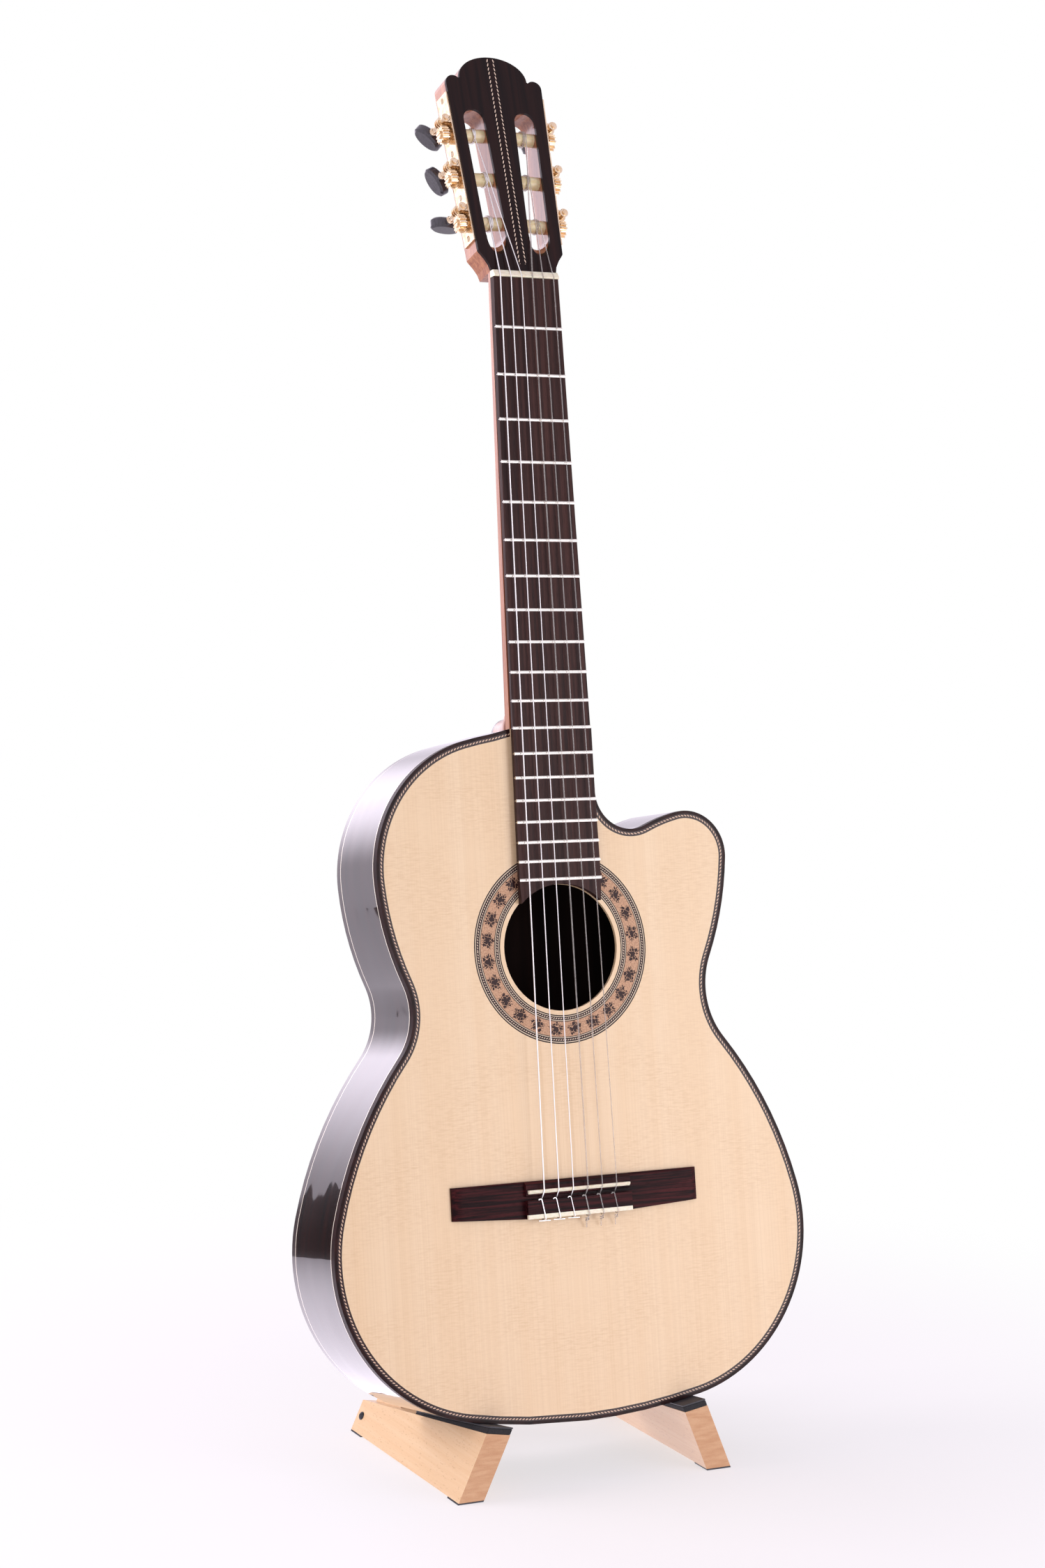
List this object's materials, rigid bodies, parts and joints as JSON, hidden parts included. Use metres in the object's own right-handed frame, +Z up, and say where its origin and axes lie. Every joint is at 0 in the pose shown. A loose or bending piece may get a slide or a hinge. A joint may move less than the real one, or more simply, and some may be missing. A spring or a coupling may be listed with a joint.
{
  "type": "guitar on stand",
  "caption": "Classical cutaway guitar with worm-geared tuning machines, leaning on a folding wooden A-frame floor stand with padded arms.",
  "frame": {"origin": "on the floor under the middle of the bounding box", "axes": "+Z up, the guitar faces -Y, +X is its treble side"},
  "size_m": [0.3738, 0.2392, 1.0099],
  "materials": {
    "spruce_top": "gloss lacquer",
    "rosette_inlay": "gloss lacquer",
    "rosewood": "gloss lacquer",
    "binding_wood": "gloss lacquer",
    "purfling_wood": "gloss lacquer",
    "inner_wood": "bare",
    "cedar_neck": "satin lacquer",
    "head_face": "gloss lacquer",
    "inlay_maple": "gloss lacquer",
    "fretboard_wood": "satin",
    "fret_wire": "polished",
    "bone": "satin",
    "string_nylon": "clear and silver wound",
    "gold_metal": "polished gold plate",
    "roller_plastic": "satin",
    "button_black": "gloss",
    "stand_beech": "satin lacquer",
    "stand_steel": "black",
    "pad_foam": "matt foam",
    "pad_rubber": "matt"
  },
  "bodies": {
    "stand_left": {"leg_left": "stand_beech", "leg_hardware_left": "stand_steel", "leg_pads_left": "pad_rubber", "arm_left": "stand_beech", "arm_pad_left": "pad_foam", "arm_rubber_left": "pad_rubber"},
    "stand_right": {"leg_right": "stand_beech", "leg_hardware_right": "stand_steel", "leg_pads_right": "pad_rubber", "arm_right": "stand_beech", "arm_pad_right": "pad_foam", "arm_rubber_right": "pad_rubber"},
    "guitar": {"soundboard": "spruce_top", "rosette": "rosette_inlay", "back_plate": "rosewood", "side_bass": "rosewood", "side_treble": "rosewood", "linings": "inner_wood", "braces": "inner_wood", "bindings": "binding_wood", "purfling": "purfling_wood", "neck": "cedar_neck", "heel_cap": "binding_wood", "head_veneer": "head_face", "head_inlay": "inlay_maple", "fretboard": "fretboard_wood", "frets": "fret_wire", "nut": "bone", "bridge": "rosewood", "saddle": "bone", "tie_bone": "bone", "strings": "string_nylon", "tuner_plate_bass": "gold_metal", "tuner_plate_treble": "gold_metal", "plate_screws": "gold_metal"},
    "roller_unit_1": {"roller_1": "roller_plastic", "gear_1": "gold_metal"},
    "worm_unit_1": {"worm_1": "gold_metal", "button_1": "button_black"},
    "roller_unit_2": {"roller_2": "roller_plastic", "gear_2": "gold_metal"},
    "worm_unit_2": {"worm_2": "gold_metal", "button_2": "button_black"},
    "roller_unit_3": {"roller_3": "roller_plastic", "gear_3": "gold_metal"},
    "worm_unit_3": {"worm_3": "gold_metal", "button_3": "button_black"},
    "roller_unit_4": {"roller_4": "roller_plastic", "gear_4": "gold_metal"},
    "worm_unit_4": {"worm_4": "gold_metal", "button_4": "button_black"},
    "roller_unit_5": {"roller_5": "roller_plastic", "gear_5": "gold_metal"},
    "worm_unit_5": {"worm_5": "gold_metal", "button_5": "button_black"},
    "roller_unit_6": {"roller_6": "roller_plastic", "gear_6": "gold_metal"},
    "worm_unit_6": {"worm_6": "gold_metal", "button_6": "button_black"}
  },
  "joints": [
    {"name": "guitar_lift", "type": "slide", "parent": "stand_left", "child": "guitar", "axis": [0, 0, 1], "range_m": [0, 0.25]},
    {"name": "stand_fold", "type": "hinge", "parent": "stand_left", "child": "stand_right", "pos_m": [0, 0.02378, 0.1763], "axis": [0, 1, 0], "range_deg": [0, 46]},
    {"name": "roller_turn_1", "type": "hinge", "parent": "guitar", "child": "roller_unit_1", "pos_m": [-0.04063, 0.05975, 0.88482], "axis": [-0.9993, -0.0137, -0.034], "continuous": true},
    {"name": "button_turn_1", "type": "hinge", "parent": "guitar", "child": "worm_unit_1", "pos_m": [-0.04098, 0.06327, 0.89353], "axis": [0, -0.9272, 0.3746], "continuous": true},
    {"name": "roller_turn_2", "type": "hinge", "parent": "guitar", "child": "roller_unit_2", "pos_m": [-0.04192, 0.07286, 0.91725], "axis": [-0.9993, -0.0137, -0.034], "continuous": true},
    {"name": "button_turn_2", "type": "hinge", "parent": "guitar", "child": "worm_unit_2", "pos_m": [-0.04226, 0.07637, 0.92596], "axis": [0, -0.9272, 0.3746], "continuous": true},
    {"name": "roller_turn_3", "type": "hinge", "parent": "guitar", "child": "roller_unit_3", "pos_m": [-0.0432, 0.08596, 0.94968], "axis": [-0.9993, -0.0137, -0.034], "continuous": true},
    {"name": "button_turn_3", "type": "hinge", "parent": "guitar", "child": "worm_unit_3", "pos_m": [-0.04354, 0.08948, 0.95839], "axis": [0, -0.9272, 0.3746], "continuous": true},
    {"name": "roller_turn_4", "type": "hinge", "parent": "guitar", "child": "roller_unit_4", "pos_m": [0.0432, 0.08596, 0.94968], "axis": [0.9993, -0.0137, -0.034], "continuous": true},
    {"name": "button_turn_4", "type": "hinge", "parent": "guitar", "child": "worm_unit_4", "pos_m": [0.04354, 0.08948, 0.95839], "axis": [0, -0.9272, 0.3746], "continuous": true},
    {"name": "roller_turn_5", "type": "hinge", "parent": "guitar", "child": "roller_unit_5", "pos_m": [0.04192, 0.07286, 0.91725], "axis": [0.9993, -0.0137, -0.034], "continuous": true},
    {"name": "button_turn_5", "type": "hinge", "parent": "guitar", "child": "worm_unit_5", "pos_m": [0.04226, 0.07637, 0.92596], "axis": [0, -0.9272, 0.3746], "continuous": true},
    {"name": "roller_turn_6", "type": "hinge", "parent": "guitar", "child": "roller_unit_6", "pos_m": [0.04063, 0.05975, 0.88482], "axis": [0.9993, -0.0137, -0.034], "continuous": true},
    {"name": "button_turn_6", "type": "hinge", "parent": "guitar", "child": "worm_unit_6", "pos_m": [0.04098, 0.06327, 0.89353], "axis": [0, -0.9272, 0.3746], "continuous": true}
  ],
  "couplings": [
    {"joint": "stand_fold", "follows": "guitar_lift", "rad_per_m": 3.2},
    {"joint": "roller_turn_1", "follows": "button_turn_1", "ratio": -0.066667},
    {"joint": "roller_turn_2", "follows": "button_turn_2", "ratio": -0.066667},
    {"joint": "roller_turn_3", "follows": "button_turn_3", "ratio": -0.066667},
    {"joint": "roller_turn_4", "follows": "button_turn_4", "ratio": -0.066667},
    {"joint": "roller_turn_5", "follows": "button_turn_5", "ratio": -0.066667},
    {"joint": "roller_turn_6", "follows": "button_turn_6", "ratio": -0.066667}
  ]
}
